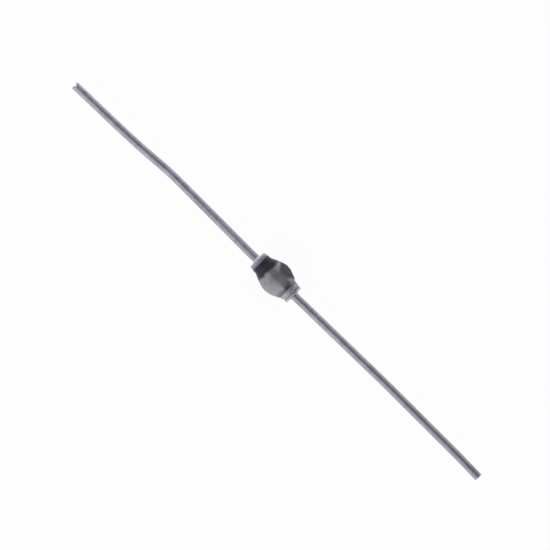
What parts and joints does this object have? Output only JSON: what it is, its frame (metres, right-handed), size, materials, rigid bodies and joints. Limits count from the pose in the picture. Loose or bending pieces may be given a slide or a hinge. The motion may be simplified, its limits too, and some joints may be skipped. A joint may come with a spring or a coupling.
{
  "type": "axial rectifier diode",
  "caption": "Axial rectifier diode: a dark lens-shaped fused-glass bead between nail-headed tinned wire leads, with a bare stud rim at the cathode end.",
  "frame": {"origin": "on the body axis, halfway between the outer faces of the two lead heads", "axes": "+X along the body axis from the anode to the cathode, +Y in the plane of the leads' slight bends, +Z square to that plane"},
  "size_m": [0.0564, 0.0034, 0.0034],
  "materials": {
    "glass": "glossy, nearly opaque dark glass",
    "silicon": "dark grey, polished",
    "die_braze": "satin",
    "stud": "ground, satin",
    "stud_braze": "satin",
    "lead": "tinned wire, satin with fine mottling"
  },
  "bodies": {
    "root": {"glass_body": "glass", "silicon_die": "silicon", "anode_die_braze": "die_braze", "cathode_die_braze": "die_braze", "anode_stud": "stud", "cathode_stud": "stud", "anode_stud_braze": "stud_braze", "cathode_stud_braze": "stud_braze", "anode_lead": "lead", "cathode_lead": "lead"}
  },
  "joints": []
}
